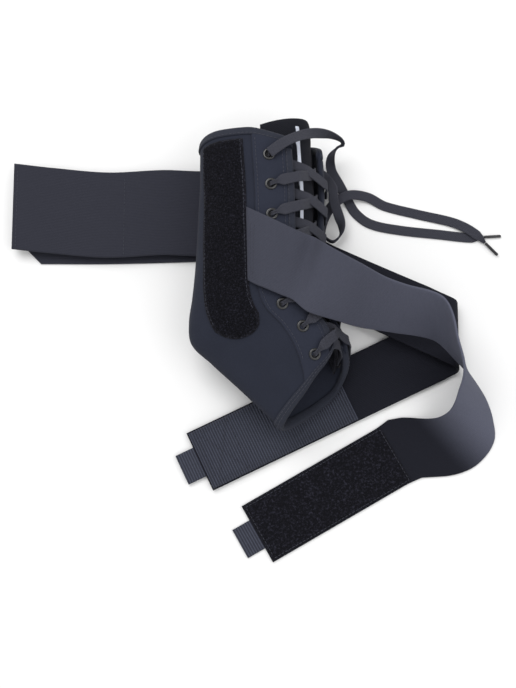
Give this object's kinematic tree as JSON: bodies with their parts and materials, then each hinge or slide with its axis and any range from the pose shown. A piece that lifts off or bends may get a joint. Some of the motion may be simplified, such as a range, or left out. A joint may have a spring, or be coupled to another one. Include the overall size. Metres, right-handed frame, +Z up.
{
  "type": "lace-up ankle brace",
  "caption": "Lace-up ankle brace lying on its side: hollow padded boot with tongue, eyelets and flat lace, two long hook-and-loop straps and a wide elastic cuff, spread out.",
  "frame": {"origin": "middle of the brace's footprint, on the surface that it lies on, with the lace's free ends left out of account", "axes": "+Z up from that surface, +Y from the toe towards the top of the leg, +X from the cuff towards the two straps' bends"},
  "size_m": [0.3971, 0.3438, 0.0881],
  "materials": {
    "padded_fabric": "smooth padded synthetic fabric",
    "facing": "smooth coated fabric",
    "binding_tape": "folded edge tape with zigzag stitching",
    "loop_pile": "fuzzy loop pile",
    "hook_pile": "rough hook pile",
    "tongue_mesh": "padded mesh",
    "pale_stripe": "smooth pale strip",
    "elastic": "woven elastic",
    "webbing": "ribbed webbing",
    "lace": "flat ribbed lace",
    "eyelet_metal": "glossy black",
    "aglet": "dark, glossy"
  },
  "bodies": {
    "root": {"shell": "padded_fabric", "tongue": "tongue_mesh", "tongue_stripe": "pale_stripe", "top_binding": "binding_tape", "toe_binding": "binding_tape", "lateral_front_binding": "binding_tape", "lateral_facing": "facing", "lateral_loop_strip": "loop_pile", "lateral_eyelet_1": "eyelet_metal", "lateral_eyelet_2": "eyelet_metal", "lateral_eyelet_3": "eyelet_metal", "lateral_eyelet_4": "eyelet_metal", "lateral_eyelet_5": "eyelet_metal", "lateral_eyelet_6": "eyelet_metal", "lateral_eyelet_7": "eyelet_metal", "lateral_eyelet_8": "eyelet_metal", "medial_front_binding": "binding_tape", "medial_facing": "facing", "medial_loop_strip": "loop_pile", "medial_eyelet_1": "eyelet_metal", "medial_eyelet_2": "eyelet_metal", "medial_eyelet_3": "eyelet_metal", "medial_eyelet_4": "eyelet_metal", "medial_eyelet_5": "eyelet_metal", "medial_eyelet_6": "eyelet_metal", "medial_eyelet_7": "eyelet_metal", "medial_eyelet_8": "eyelet_metal", "lacing": "lace", "lace_end_a": "lace", "lace_end_b": "lace", "aglet_a": "aglet", "aglet_b": "aglet", "lateral_strap": "elastic", "medial_strap": "elastic", "cuff_band": "elastic", "cuff_patch": "hook_pile", "lateral_hook_patch": "hook_pile", "medial_hook_patch": "hook_pile", "lateral_pull_tab": "webbing", "medial_pull_tab": "webbing", "medial_webbing_end": "webbing"}
  },
  "joints": []
}
